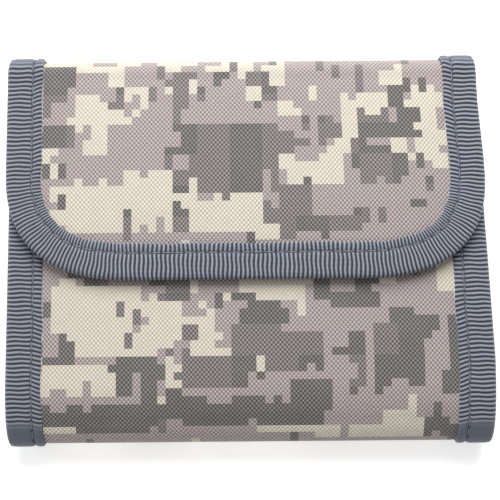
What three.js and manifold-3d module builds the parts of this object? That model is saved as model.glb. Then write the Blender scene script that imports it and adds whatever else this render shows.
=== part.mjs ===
// Trifold wallet, lying closed on its back. Millimetres, +Z up.
//
// The wallet is one long strip of bound cloth with two folds across it. The back panel lies on the
// table. At its lower end (-Y) the strip turns up and over as the front panel, and at its upper end
// (+Y) it turns up and over as the flap, which closes on top of the front panel. Each fold is a
// narrow spine between two creases, so that an opened panel lies flat beside the back panel.
//
// Most pieces follow the strip. They are placed by their depth: the distance inside the strip's
// outer skin.

import * as THREE from "three";
import { mergeVertices } from "three/addons/utils/BufferGeometryUtils.js";
import Module from "manifold-3d";

const wasm = await Module();
wasm.setup();

// ---- Driving dimensions ----

const WIDTH = 133;
const LENGTH = 107;
const FLAP_FACE_Z = 18.5;
const PANEL_FACE_Z = 14.5;

const BOTTOM_FOLD_RADIUS = 6;
const TOP_FOLD_RADIUS = 3;
const FOLD_ARC_STEPS = 6;
const CREASE_GAP_DEG = 1.5; // clearance each side of the middle of a fold's quarter turn

const FLAP_REACH = 62.3; // from the top fold to the flap's lower edge
const FLAP_CORNER_X = 36; // the flap's corners are superellipse quarters
const FLAP_CORNER_Y = 31;
const FLAP_CORNER_POWER = 2.5;
const PANEL_REACH = 93.5; // from the bottom fold to the front panel's free edge
const PANEL_CORNER = 8;
const CORNER_STEPS = 16;

const TAPE = 0.5; // thickness of the binding tape
const BINDING_WIDTH = 10;
const EDGE = 2.6; // thickness of a bound edge, tape included
const FIT = 0.05; // clearance between sewn layers
const PAST = 1; // how far a cutting solid runs past what it cuts

// Depths below the outer skin, as [nearer, further]
const SHELL = [0, 1.2];
const LINING_FLANGE = [1.3, 2.0];
const PAD = [1.3, 2.7];
const LINING = [2.8, 3.4];
const FLAP_SHELL = [0, 1.0];
const FLAP_LINING_FLANGE = [1.1, 1.9];
const FLAP_PAD = [1.1, 1.9];
const FLAP_LINING = [2.0, 2.5];
const HOOK = [2.6, 3.15];
const LOOP = [-0.7, -0.05]; // stands on the outside of the skin

const PAD_MARGIN = 1.5; // from the binding's inner edge to the foam
const FOLD_MARGIN = 2; // from the start of a fold to the foam
const LINING_WALL = 0.5; // the step in a lining around its foam
const PAD_ROOM = 0.2; // clearance around the foam

const POCKET_CLOTH = 0.4;
const POCKET_SEAM = 1; // width of the sewn-down edges
const NOTE_ROOM = 0.5;
const CARD_ROOM = 0.85; // an identity card is 0.76 thick
const COIN_ROOM = 0.5;
const NOTE_POCKET = { halfWidth: 54, seamY: -45, mouthY: 38 };
const CARD_POCKETS = [
  { halfWidth: 47, seamY: -45, mouthY: 8 },
  { halfWidth: 47, seamY: -45, mouthY: -4 },
  { halfWidth: 47, seamY: -45, mouthY: -16 },
];

const COIN_HALF_WIDTH = 54;
const COIN_BOTTOM = -44;
const COIN_TOP = 29.5;
const ZIP_Y = 16;
const ZIP_SLOT = 5; // from the zip's line to the cloth each side
const ZIP_HALF_LENGTH = 46;
const ZIP_TAPE = { from: 1, to: 8, thickness: 0.4 };
const ZIP_COIL = { from: 0.7, to: 2.5, thickness: 1 };
const ZIP_STOP_LENGTH = 1.4;

const SLIDER_X = 38;
const SLIDER = {
  length: 11,
  width: 8.4,
  heelWidth: 6, // where the closed coil leaves it
  plate: 0.8,
  backPlate: 0.6,
  lip: 0.7, // how far its sides turn down beside the coil
  post: 1,
  postLength: 4,
  clearance: 0.15,
};
const BRIDGE = { length: 6.4, width: 1.6, bar: 0.6, foot: 1, rise: 1.2 };
const PULL = { length: 19, width: 6, thickness: 0.8, arm: 1.4, eye: 5.2, slot: 2.2 };

const WINDOW = { halfWidth: 47, seamY: -42, mouthY: 7 };
const WINDOW_FILM = 0.2;
const WINDOW_FRAME_WIDTH = 5;

const FASTENER = { halfWidth: 38, bottom: 6, top: 28 };

// ---- Derived dimensions ----

const HALF_WIDTH = WIDTH / 2;
const TOP_Y = LENGTH / 2;
const BOTTOM_Y = -LENGTH / 2;
const FLAP_EDGE_Y = TOP_Y - FLAP_REACH;
const PANEL_EDGE_Y = BOTTOM_Y + PANEL_REACH;
const ARC = 45 - CREASE_GAP_DEG;
const CUTTING_ARC = ARC + CREASE_GAP_DEG; // a cut along a run goes on past the run's ends

const fromBack = (depth) => depth;
const fromPanel = (depth) => PANEL_FACE_Z - depth;
const fromFlap = (depth) => FLAP_FACE_Z - depth;

// ---- Side view of the strip: points in the YZ plane, at a depth inside the outer skin ----

/** An arc of a fold, whose outer skin has the given radius and centre. Degrees run from +Y to +Z. */
function foldArc(centreY, centreZ, radius, fromDeg, toDeg, depth) {
  const points = [];
  for (let i = 0; i <= FOLD_ARC_STEPS; i++) {
    const share = i / FOLD_ARC_STEPS;
    const angle = THREE.MathUtils.degToRad(THREE.MathUtils.lerp(fromDeg, toDeg, share));
    const r = radius - depth;
    points.push(new THREE.Vector2(centreY + r * Math.cos(angle), centreZ + r * Math.sin(angle)));
  }
  return points;
}

function bottomArc(aroundZ, fromDeg, toDeg, depth) {
  return foldArc(BOTTOM_Y + BOTTOM_FOLD_RADIUS, aroundZ, BOTTOM_FOLD_RADIUS, fromDeg, toDeg, depth);
}

function topArc(aroundZ, fromDeg, toDeg, depth) {
  return foldArc(TOP_Y - TOP_FOLD_RADIUS, aroundZ, TOP_FOLD_RADIUS, fromDeg, toDeg, depth);
}

// Each run goes along one body of the strip, with its quarter turns taken as far as `arc` degrees.

function backRun(depth, arc = ARC) {
  return [
    ...bottomArc(BOTTOM_FOLD_RADIUS, 270 - arc, 270, depth),
    ...topArc(TOP_FOLD_RADIUS, 270, 270 + arc, depth),
  ];
}

function bottomSpineRun(depth, arc = ARC) {
  return [
    ...bottomArc(PANEL_FACE_Z - BOTTOM_FOLD_RADIUS, 180 - arc, 180, depth),
    ...bottomArc(BOTTOM_FOLD_RADIUS, 180, 180 + arc, depth),
  ];
}

function frontRun(depth, arc = ARC) {
  return [
    new THREE.Vector2(PANEL_EDGE_Y + PAST, PANEL_FACE_Z - depth),
    ...bottomArc(PANEL_FACE_Z - BOTTOM_FOLD_RADIUS, 90, 90 + arc, depth),
  ];
}

function topSpineRun(depth, arc = ARC) {
  return [
    ...topArc(TOP_FOLD_RADIUS, -arc, 0, depth),
    ...topArc(FLAP_FACE_Z - TOP_FOLD_RADIUS, 0, arc, depth),
  ];
}

function flapRun(depth, arc = ARC) {
  return [
    ...topArc(FLAP_FACE_Z - TOP_FOLD_RADIUS, 90 - arc, 90, depth),
    new THREE.Vector2(FLAP_EDGE_Y - PAST, FLAP_FACE_Z - depth),
  ];
}

// ---- Plan views: outlines in the XY plane, moved inwards by an inset ----

/** A corner at (cx, cy), bulging right and down, as points from its right end to its lower end. */
function cornerPoints(cx, cy, halfX, halfY, power, inset) {
  const points = [];
  for (let i = 0; i <= CORNER_STEPS; i++) {
    const angle = ((Math.PI / 2) * i) / CORNER_STEPS;
    const c = Math.max(Math.cos(angle), 0);
    const s = Math.sin(angle);
    const x = halfX * c ** (2 / power);
    const y = halfY * s ** (2 / power);
    const normal = new THREE.Vector2(c ** (2 - 2 / power) / halfX, s ** (2 - 2 / power) / halfY);
    normal.normalize().multiplyScalar(inset);
    points.push(new THREE.Vector2(cx + x - normal.x, cy - y + normal.y));
  }
  return points;
}

/** The right half of an outline, with its mirror image added on the left. */
function mirrored(right) {
  const left = right.map((p) => new THREE.Vector2(-p.x, p.y)).reverse();
  return [...right, ...left];
}

function flapOutline(inset, topY = TOP_Y + PAST) {
  const corner = cornerPoints(
    HALF_WIDTH - FLAP_CORNER_X,
    FLAP_EDGE_Y + FLAP_CORNER_Y,
    FLAP_CORNER_X,
    FLAP_CORNER_Y,
    FLAP_CORNER_POWER,
    inset,
  );
  return mirrored([new THREE.Vector2(HALF_WIDTH - inset, topY), ...corner]);
}

/** The front panel's outline is the flap's kind turned over: its corners are at its upper end. */
function panelOutline(inset, bottomY = BOTTOM_Y - PAST) {
  const corner = cornerPoints(
    HALF_WIDTH - PANEL_CORNER,
    -PANEL_EDGE_Y + PANEL_CORNER,
    PANEL_CORNER,
    PANEL_CORNER,
    2,
    Math.min(inset, PANEL_CORNER),
  );
  const slack = Math.max(inset - PANEL_CORNER, 0);
  const right = corner.map((p) => new THREE.Vector2(p.x - slack, -p.y - slack));
  return mirrored([new THREE.Vector2(HALF_WIDTH - inset, bottomY), ...right]);
}

// ---- Solids ----

function toManifold(geometry) {
  const bare = geometry.clone();
  bare.deleteAttribute("normal");
  bare.deleteAttribute("uv");
  const welded = mergeVertices(bare, 1e-5);
  const mesh = new wasm.Mesh({
    numProp: 3,
    vertProperties: new Float32Array(welded.attributes.position.array),
    triVerts: new Uint32Array(welded.index.array),
  });
  return new wasm.Manifold(mesh);
}

function toGeometry(solid) {
  const mesh = solid.getMesh();
  const geometry = new THREE.BufferGeometry();
  geometry.setAttribute("position", new THREE.BufferAttribute(mesh.vertProperties, 3));
  geometry.setIndex(new THREE.BufferAttribute(mesh.triVerts, 1));
  geometry.computeVertexNormals();
  return geometry;
}

/** A layer of the strip between two depths, as wide as x0 to x1. */
function layer(run, depths, x0, x1, arc = ARC) {
  const profile = [...run(depths[0], arc), ...run(depths[1], arc).reverse()];
  const geometry = new THREE.ExtrudeGeometry(new THREE.Shape(profile), {
    depth: x1 - x0,
    bevelEnabled: false,
  });
  const sideToRow = new THREE.Matrix4().makeBasis(
    new THREE.Vector3(0, 1, 0),
    new THREE.Vector3(0, 0, 1),
    new THREE.Vector3(1, 0, 0),
  );
  geometry.applyMatrix4(sideToRow);
  geometry.translate(x0, 0, 0);
  return toManifold(geometry);
}

/** A flat plate with this outline, between two heights. */
function plate(outline, z0, z1) {
  const geometry = new THREE.ExtrudeGeometry(new THREE.Shape(outline), {
    depth: Math.abs(z1 - z0),
    bevelEnabled: false,
  });
  geometry.translate(0, 0, Math.min(z0, z1));
  return toManifold(geometry);
}

/** A tall plate, for cutting a layer to its outline. */
function cutter(outline) {
  return plate(outline, -PAST, FLAP_FACE_Z + PAST);
}

function box(x0, x1, y0, y1, z0, z1) {
  const size = [Math.abs(x1 - x0), Math.abs(y1 - y0), Math.abs(z1 - z0)];
  const geometry = new THREE.BoxGeometry(...size);
  geometry.translate((x0 + x1) / 2, (y0 + y1) / 2, (z0 + z1) / 2);
  return toManifold(geometry);
}

function unionOf(...solids) {
  return solids.reduce((whole, solid) => whole.add(solid));
}

// ---- The bound strip ----

/** The tape folded over one straight side of a run: a channel open towards the middle. */
function sideBinding(run, side) {
  const outer = [side * (HALF_WIDTH - BINDING_WIDTH), side * HALF_WIDTH].sort((a, b) => a - b);
  const hollow = [
    side * (HALF_WIDTH - BINDING_WIDTH - PAST),
    side * (HALF_WIDTH - TAPE),
  ].sort((a, b) => a - b);
  const folded = layer(run, [0, EDGE], ...outer);
  return folded.subtract(layer(run, [TAPE, EDGE - TAPE], ...hollow, CUTTING_ARC));
}

/** The tape folded over the sides and the free edge of a panel. */
function edgeBinding(run, outline) {
  const folded = layer(run, [0, EDGE], -HALF_WIDTH, HALF_WIDTH)
    .intersect(cutter(outline(0)))
    .subtract(cutter(outline(BINDING_WIDTH)));
  const hollow = layer(run, [TAPE, EDGE - TAPE], -HALF_WIDTH, HALF_WIDTH, CUTTING_ARC);
  return folded.subtract(hollow.intersect(cutter(outline(TAPE))));
}

/** Outer cloth of a straight-sided run, thinned under the tape so that the tape lies flush. */
function sideShell(run, depths) {
  const middle = HALF_WIDTH - BINDING_WIDTH - FIT;
  const bound = HALF_WIDTH - TAPE - FIT;
  return unionOf(
    layer(run, depths, -middle, middle),
    layer(run, [TAPE + FIT, depths[1]], -bound, bound),
  );
}

function edgeShell(run, depths, outline) {
  const whole = layer(run, depths, -HALF_WIDTH, HALF_WIDTH);
  const thinned = layer(run, [TAPE + FIT, depths[1]], -HALF_WIDTH, HALF_WIDTH);
  return unionOf(
    whole.intersect(cutter(outline(BINDING_WIDTH + FIT))),
    thinned.intersect(cutter(outline(TAPE + FIT))),
  );
}

/** Lining: a sheet caught in the binding, stepped up over the foam in its middle. */
function steppedLining(sheet, padOutline, face, flange, depths) {
  const room = padOutline(-PAD_ROOM);
  const rim = padOutline(-PAD_ROOM - LINING_WALL);
  const raised = plate(rim, face(flange[0]), face(depths[1]));
  const hollow = plate(room, face(flange[0] - PAST), face(depths[0]));
  return sheet.subtract(cutter(room)).add(raised.subtract(hollow));
}

function backPadOutline(grow = 0) {
  const halfX = HALF_WIDTH - BINDING_WIDTH - PAD_MARGIN - grow;
  const bottom = BOTTOM_Y + BOTTOM_FOLD_RADIUS + FOLD_MARGIN + grow;
  const top = TOP_Y - TOP_FOLD_RADIUS - FOLD_MARGIN - grow;
  return mirrored([new THREE.Vector2(halfX, bottom), new THREE.Vector2(halfX, top)]);
}

function flapPadOutline(grow = 0) {
  const top = TOP_Y - TOP_FOLD_RADIUS - FOLD_MARGIN - grow;
  return flapOutline(BINDING_WIDTH + PAD_MARGIN + grow, top);
}

function panelPadOutline(grow = 0) {
  const bottom = BOTTOM_Y + BOTTOM_FOLD_RADIUS + FOLD_MARGIN + grow;
  return panelOutline(BINDING_WIDTH + PAD_MARGIN + grow, bottom);
}

function backShell() {
  return sideShell(backRun, SHELL);
}

function backPad() {
  return plate(backPadOutline(), fromBack(PAD[0]), fromBack(PAD[1]));
}

function backLining() {
  const bound = HALF_WIDTH - TAPE - FIT;
  const sheet = layer(backRun, LINING_FLANGE, -bound, bound);
  return steppedLining(sheet, backPadOutline, fromBack, LINING_FLANGE, LINING);
}

function spineLining(run) {
  const bound = HALF_WIDTH - TAPE - FIT;
  return layer(run, LINING_FLANGE, -bound, bound);
}

function flapShell() {
  return edgeShell(flapRun, FLAP_SHELL, flapOutline);
}

function flapPad() {
  return plate(flapPadOutline(), fromFlap(FLAP_PAD[0]), fromFlap(FLAP_PAD[1]));
}

function flapLining() {
  const sheet = layer(flapRun, FLAP_LINING_FLANGE, -HALF_WIDTH, HALF_WIDTH);
  const cut = sheet.intersect(cutter(flapOutline(TAPE + FIT)));
  return steppedLining(cut, flapPadOutline, fromFlap, FLAP_LINING_FLANGE, FLAP_LINING);
}

function frontShell() {
  return edgeShell(frontRun, SHELL, panelOutline);
}

function frontPad() {
  return plate(panelPadOutline(), fromPanel(PAD[0]), fromPanel(PAD[1]));
}

function frontLining() {
  const sheet = layer(frontRun, LINING_FLANGE, -HALF_WIDTH, HALF_WIDTH);
  const cut = sheet.intersect(cutter(panelOutline(TAPE + FIT)));
  return steppedLining(cut, panelPadOutline, fromPanel, LINING_FLANGE, LINING);
}

function fastenerStrip(face, depths) {
  const { halfWidth, bottom, top } = FASTENER;
  return box(-halfWidth, halfWidth, bottom, top, face(depths[0]), face(depths[1]));
}

// ---- Pockets, on the back panel's and the front panel's inner faces ----

/** Cloth sewn down on three sides over whatever lies at this depth, and open at its mouth. */
function pocket({ halfWidth, seamY, mouthY }, under, room, face) {
  const towardsMouth = Math.sign(mouthY - seamY);
  const base = under + FIT;
  const inside = base + room;
  const whole = box(
    -halfWidth,
    halfWidth,
    seamY,
    mouthY,
    face(base),
    face(inside + POCKET_CLOTH),
  );
  const hollow = box(
    POCKET_SEAM - halfWidth,
    halfWidth - POCKET_SEAM,
    seamY + towardsMouth * POCKET_SEAM,
    mouthY + towardsMouth * PAST,
    face(base - PAST),
    face(inside),
  );
  return whole.subtract(hollow);
}

const NOTE_POCKET_TOP = LINING[1] + FIT + NOTE_ROOM + POCKET_CLOTH;
const CARD_POCKET_STEP = FIT + CARD_ROOM + POCKET_CLOTH;

function notePocket() {
  return pocket(NOTE_POCKET, LINING[1], NOTE_ROOM, fromBack);
}

function cardPocket(index) {
  const under = NOTE_POCKET_TOP + index * CARD_POCKET_STEP;
  return pocket(CARD_POCKETS[index], under, CARD_ROOM, fromBack);
}

const COIN_POCKET_TOP = LINING[1] + FIT + COIN_ROOM + POCKET_CLOTH;

/** One piece of the coin pocket's cloth, open along the zip: side is 1 above it, -1 below it. */
function coinCloth(side) {
  const shape = {
    halfWidth: COIN_HALF_WIDTH,
    seamY: side > 0 ? COIN_TOP : COIN_BOTTOM,
    mouthY: ZIP_Y + side * ZIP_SLOT,
  };
  return pocket(shape, LINING[1], COIN_ROOM, fromPanel);
}

function windowFrame() {
  const { halfWidth, seamY, mouthY } = WINDOW;
  const sight = box(
    WINDOW_FRAME_WIDTH - halfWidth,
    halfWidth - WINDOW_FRAME_WIDTH,
    seamY + WINDOW_FRAME_WIDTH,
    mouthY - WINDOW_FRAME_WIDTH,
    0,
    PANEL_FACE_Z,
  );
  const room = CARD_ROOM + WINDOW_FILM + FIT;
  return pocket(WINDOW, COIN_POCKET_TOP, room, fromPanel).subtract(sight);
}

/** The clear film under the frame, over the room for a card. */
function windowFilm() {
  const { halfWidth, seamY, mouthY } = WINDOW;
  const inset = POCKET_SEAM + FIT;
  const depth = COIN_POCKET_TOP + FIT + CARD_ROOM;
  return box(
    inset - halfWidth,
    halfWidth - inset,
    seamY + inset,
    mouthY,
    fromPanel(depth),
    fromPanel(depth + WINDOW_FILM),
  );
}

// ---- Zip, in the front panel's coin pocket ----

const ZIP_TAPE_DEPTH = COIN_POCKET_TOP + FIT;
const ZIP_COIL_DEPTH = ZIP_TAPE_DEPTH + ZIP_TAPE.thickness + FIT;
const SLIDER_TOP = ZIP_COIL_DEPTH + ZIP_COIL.thickness + SLIDER.clearance;
const SLIDER_BACK = ZIP_TAPE_DEPTH - SLIDER.clearance - SLIDER.backPlate;
const PULL_DEPTH = SLIDER_TOP + SLIDER.plate + SLIDER.clearance;

/** A straight strip beside the zip's line: side is 1 above the line and -1 below it. */
function zipStrip(side, section, depth) {
  return box(
    -ZIP_HALF_LENGTH,
    ZIP_HALF_LENGTH,
    ZIP_Y + side * section.from,
    ZIP_Y + side * section.to,
    fromPanel(depth),
    fromPanel(depth + section.thickness),
  );
}

function zipTape(side) {
  return zipStrip(side, ZIP_TAPE, ZIP_TAPE_DEPTH);
}

/** Half of the coil, short of the zip's ends by the stops. */
function zipCoil(side) {
  const stops = ZIP_STOP_LENGTH + FIT;
  const between = box(
    stops - ZIP_HALF_LENGTH,
    ZIP_HALF_LENGTH - stops,
    ZIP_Y - ZIP_SLOT,
    ZIP_Y + ZIP_SLOT,
    0,
    PANEL_FACE_Z,
  );
  return zipStrip(side, ZIP_COIL, ZIP_COIL_DEPTH).intersect(between);
}

/** A metal stop across both halves of the coil, at one end of the zip. */
function zipStop(end) {
  return box(
    end * ZIP_HALF_LENGTH,
    end * (ZIP_HALF_LENGTH - ZIP_STOP_LENGTH),
    ZIP_Y - ZIP_COIL.to,
    ZIP_Y + ZIP_COIL.to,
    fromPanel(ZIP_COIL_DEPTH),
    fromPanel(ZIP_COIL_DEPTH + ZIP_COIL.thickness),
  );
}

/** The slider's outline: broad where the two halves of the coil enter it, narrower behind. */
function sliderOutline() {
  const nose = SLIDER.length / 2;
  const shoulder = nose * 0.3;
  const front = SLIDER.width / 2;
  const heel = SLIDER.heelWidth / 2;
  const lower = [
    [-nose, heel],
    [-shoulder, heel],
    [shoulder, front],
    [nose * 0.8, front],
    [nose, front * 0.6],
  ];
  const upper = lower.map(([x, y]) => [x, -y]).reverse();
  return [...lower, ...upper].map(([x, y]) => new THREE.Vector2(SLIDER_X + x, ZIP_Y - y));
}

/** The turned-down sides that keep the coil under the slider's top plate. */
function sliderLips() {
  const rim = plate(
    sliderOutline(),
    fromPanel(SLIDER_TOP - SLIDER.lip),
    fromPanel(SLIDER_TOP + SLIDER.plate),
  );
  const channel = box(
    SLIDER_X - SLIDER.length,
    SLIDER_X + SLIDER.length,
    ZIP_Y - ZIP_COIL.to - SLIDER.clearance,
    ZIP_Y + ZIP_COIL.to + SLIDER.clearance,
    0,
    PANEL_FACE_Z,
  );
  return rim.subtract(channel);
}

/** The arch along the slider that holds the pull's crossbar. */
function sliderBridge() {
  const { length, width, bar, foot, rise } = BRIDGE;
  const seat = SLIDER_TOP + SLIDER.plate;
  const sides = [ZIP_Y - width / 2, ZIP_Y + width / 2];
  const arch = box(
    SLIDER_X - length / 2,
    SLIDER_X + length / 2,
    ...sides,
    fromPanel(seat - SLIDER.plate / 2),
    fromPanel(seat + rise + bar),
  );
  const eye = box(
    SLIDER_X - length / 2 + foot,
    SLIDER_X + length / 2 - foot,
    sides[0] - PAST,
    sides[1] + PAST,
    fromPanel(seat),
    fromPanel(seat + rise),
  );
  return arch.subtract(eye);
}

function zipSlider() {
  const outline = sliderOutline();
  const top = plate(outline, fromPanel(SLIDER_TOP), fromPanel(SLIDER_TOP + SLIDER.plate));
  const back = plate(outline, fromPanel(SLIDER_BACK), fromPanel(SLIDER_BACK + SLIDER.backPlate));
  const postNose = SLIDER_X + SLIDER.length / 2 - SLIDER.plate;
  const post = box(
    postNose - SLIDER.postLength,
    postNose,
    ZIP_Y - SLIDER.post / 2,
    ZIP_Y + SLIDER.post / 2,
    fromPanel(SLIDER_BACK),
    fromPanel(SLIDER_TOP + SLIDER.plate),
  );
  return unionOf(top, back, post, sliderLips(), sliderBridge());
}

/** A flat tab with an eye at one end, whose crossbar passes under the slider's bridge. */
function zipPull() {
  const { length, width, thickness, arm, eye, slot } = PULL;
  const half = width / 2;
  const barX = SLIDER_X + arm / 2;
  const endX = barX - length + half; // centre of the rounded end
  const outline = new THREE.Shape();
  outline.moveTo(barX, ZIP_Y - half);
  outline.lineTo(barX, ZIP_Y + half);
  outline.lineTo(endX, ZIP_Y + half);
  outline.absarc(endX, ZIP_Y, half, Math.PI / 2, (3 * Math.PI) / 2, false);
  const z = [fromPanel(PULL_DEPTH), fromPanel(PULL_DEPTH + thickness)];
  const hole = (x, reach, halfY) =>
    box(x, x - reach, ZIP_Y - halfY, ZIP_Y + halfY, z[0] + PAST, z[1] - PAST);
  return plate(outline.getPoints(CORNER_STEPS), ...z)
    .subtract(hole(barX - arm, eye, half - arm))
    .subtract(hole(endX + slot, slot, half / 2));
}

// ---- Materials ----

function cloth(color) {
  return new THREE.MeshStandardMaterial({ color, roughness: 0.9, metalness: 0 });
}

function metal(color) {
  return new THREE.MeshStandardMaterial({ color, roughness: 0.35, metalness: 0.9 });
}

function clearFilm() {
  return new THREE.MeshStandardMaterial({
    color: 0xe4ecee,
    roughness: 0.15,
    metalness: 0,
    transparent: true,
    opacity: 0.35,
  });
}

const CAMOUFLAGE = 0xb8aca0;
const BINDING_SLATE = 0x6a7180;
const LINING_GREY = 0x3c3f45;
const FOAM_GREY = 0xd8d8d4;
const POCKET_GREY = 0x474a51;
const HOOK_GREY = 0x5b6069;
const LOOP_GREY = 0x70757f;
const ZIP_GREY = 0x4d525c;
const STEEL = 0xb9bcc0;

// ---- Assembly ----

const wallet = new THREE.Group();
wallet.name = "trifold_wallet";

/** Adds a group for one moving body, holding a named mesh for each of its pieces. */
function addBody(name, pieces) {
  const body = new THREE.Group();
  body.name = name;
  for (const [pieceName, solid, material] of pieces) {
    const mesh = new THREE.Mesh(toGeometry(solid), material);
    mesh.name = pieceName;
    body.add(mesh);
  }
  wallet.add(body);
}

addBody("back", [
  ["back_shell", backShell(), cloth(CAMOUFLAGE)],
  ["back_foam", backPad(), cloth(FOAM_GREY)],
  ["back_lining", backLining(), cloth(LINING_GREY)],
  ["back_binding_left", sideBinding(backRun, -1), cloth(BINDING_SLATE)],
  ["back_binding_right", sideBinding(backRun, 1), cloth(BINDING_SLATE)],
  ["note_pocket", notePocket(), cloth(POCKET_GREY)],
  ["card_pocket_rear", cardPocket(0), cloth(POCKET_GREY)],
  ["card_pocket_middle", cardPocket(1), cloth(POCKET_GREY)],
  ["card_pocket_front", cardPocket(2), cloth(POCKET_GREY)],
]);

addBody("top_spine", [
  ["top_spine_shell", sideShell(topSpineRun, SHELL), cloth(CAMOUFLAGE)],
  ["top_spine_lining", spineLining(topSpineRun), cloth(LINING_GREY)],
  ["top_spine_binding_left", sideBinding(topSpineRun, -1), cloth(BINDING_SLATE)],
  ["top_spine_binding_right", sideBinding(topSpineRun, 1), cloth(BINDING_SLATE)],
]);

addBody("flap", [
  ["flap_shell", flapShell(), cloth(CAMOUFLAGE)],
  ["flap_foam", flapPad(), cloth(FOAM_GREY)],
  ["flap_lining", flapLining(), cloth(LINING_GREY)],
  ["flap_binding", edgeBinding(flapRun, flapOutline), cloth(BINDING_SLATE)],
  ["hook_strip", fastenerStrip(fromFlap, HOOK), cloth(HOOK_GREY)],
]);

addBody("bottom_spine", [
  ["bottom_spine_shell", sideShell(bottomSpineRun, SHELL), cloth(CAMOUFLAGE)],
  ["bottom_spine_lining", spineLining(bottomSpineRun), cloth(LINING_GREY)],
  ["bottom_spine_binding_left", sideBinding(bottomSpineRun, -1), cloth(BINDING_SLATE)],
  ["bottom_spine_binding_right", sideBinding(bottomSpineRun, 1), cloth(BINDING_SLATE)],
]);

addBody("front_panel", [
  ["front_shell", frontShell(), cloth(CAMOUFLAGE)],
  ["front_foam", frontPad(), cloth(FOAM_GREY)],
  ["front_lining", frontLining(), cloth(LINING_GREY)],
  ["front_binding", edgeBinding(frontRun, panelOutline), cloth(BINDING_SLATE)],
  ["loop_strip", fastenerStrip(fromPanel, LOOP), cloth(LOOP_GREY)],
  ["coin_pocket_lower", coinCloth(-1), cloth(POCKET_GREY)],
  ["coin_pocket_upper", coinCloth(1), cloth(POCKET_GREY)],
  ["zip_tape_upper", zipTape(1), cloth(ZIP_GREY)],
  ["zip_tape_lower", zipTape(-1), cloth(ZIP_GREY)],
  ["zip_coil_upper", zipCoil(1), cloth(ZIP_GREY)],
  ["zip_coil_lower", zipCoil(-1), cloth(ZIP_GREY)],
  ["zip_stop_left", zipStop(-1), metal(STEEL)],
  ["zip_stop_right", zipStop(1), metal(STEEL)],
  ["window_film", windowFilm(), clearFilm()],
  ["window_frame", windowFrame(), cloth(BINDING_SLATE)],
]);

addBody("zip_slider", [
  ["zip_slider_body", zipSlider(), metal(STEEL)],
  ["zip_pull", zipPull(), metal(STEEL)],
]);

export default wallet;
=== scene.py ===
"""A closed tri-fold wallet of camouflage cloth, bound in ribbed tape.

Sizes are in millimetres, and MM turns them into Blender's metres. Most pieces follow the wallet's one
long strip of cloth. A point of it is given by x across the strip, by s along the strip from the flap's
edge (over the top fold, down the back, round the bottom fold and up the front panel to its free edge),
and by its depth inside the outer skin.
"""

import math
import random

import bmesh
import bpy
import numpy as np
from mathutils import Matrix, Vector


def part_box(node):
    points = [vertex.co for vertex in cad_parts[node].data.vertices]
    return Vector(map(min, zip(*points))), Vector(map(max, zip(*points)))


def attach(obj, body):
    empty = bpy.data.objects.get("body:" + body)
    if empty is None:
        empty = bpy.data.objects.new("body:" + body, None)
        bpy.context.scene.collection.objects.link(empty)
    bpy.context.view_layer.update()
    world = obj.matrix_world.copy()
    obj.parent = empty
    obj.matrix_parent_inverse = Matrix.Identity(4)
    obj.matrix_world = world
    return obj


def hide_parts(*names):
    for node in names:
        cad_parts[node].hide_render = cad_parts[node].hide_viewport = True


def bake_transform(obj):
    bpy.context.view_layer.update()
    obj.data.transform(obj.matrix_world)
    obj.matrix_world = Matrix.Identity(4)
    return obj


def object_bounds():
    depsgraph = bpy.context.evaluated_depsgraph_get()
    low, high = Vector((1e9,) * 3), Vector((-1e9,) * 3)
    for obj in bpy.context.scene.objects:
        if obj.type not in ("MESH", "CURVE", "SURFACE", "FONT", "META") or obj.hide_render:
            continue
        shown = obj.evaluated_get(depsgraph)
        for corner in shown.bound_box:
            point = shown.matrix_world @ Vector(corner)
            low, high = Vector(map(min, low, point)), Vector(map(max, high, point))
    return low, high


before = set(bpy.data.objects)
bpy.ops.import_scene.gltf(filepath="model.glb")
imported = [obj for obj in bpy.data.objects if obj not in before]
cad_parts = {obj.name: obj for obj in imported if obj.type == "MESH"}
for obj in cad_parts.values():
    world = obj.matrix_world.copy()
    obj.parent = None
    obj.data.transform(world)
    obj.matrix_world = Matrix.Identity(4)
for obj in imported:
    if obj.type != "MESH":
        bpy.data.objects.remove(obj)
cad_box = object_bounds()
random.seed(7)

# ---- Dimensions ----

MM = 0.001
HALF_WIDTH = cad_box[1].x / MM
TOP_Y = cad_box[1].y / MM
BOTTOM_Y = cad_box[0].y / MM
FLAP_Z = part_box("flap_shell")[1].z / MM
PANEL_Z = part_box("front_shell")[1].z / MM
FLAP_EDGE_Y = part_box("flap_binding")[0].y / MM
PANEL_EDGE_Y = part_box("front_binding")[1].y / MM

FLAP_CORNER = (36, 31, 2.5)  # half axes and power of the superellipse
PANEL_CORNER = (10.8, 10.8, 2)

TAPE_WIDTH = 10  # how much of the tape shows on each face
EDGE = 2.6  # thickness of a bound edge
RIB = 1.2  # pitch of the tape's ribs
RIB_PROFILE = (0.0, 0.75, 1.0, 1.0, 0.75)  # height at each station of one rib
RIB_HEIGHT = 0.24
GROOVE = 7.3  # from the bound edge to the line of stitching
RIB_SLANT = 0.32

CROWN = 0.9  # how far the padded panels swell
CLOTH = 0.4
STITCH = 2.4  # length of one stitch
STITCH_PITCH = 3.1
THREAD = 0.17  # radius of the thread
SUNK = 0.22  # how deep the binding's thread lies below the tape's faces

SEAM_INSET = 1.0  # from a pocket's edge to its stitching
COIL_PITCH = 1.1
COIL_WIRE = 0.2  # radius of the zip's nylon wire
WINDOW_TAPE = 5.0
WINDOW_TAPE_ROOM = 0.45  # thickness that the window's ribbed tape takes up
FLOOR_DEPTH = 0.0012  # metres: just below the binding, which dips under the CAD's lowest face

SIM_SCALE = 0.02  # the cloth simulation's metres for one millimetre
SIM_FRAMES = 24

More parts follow.
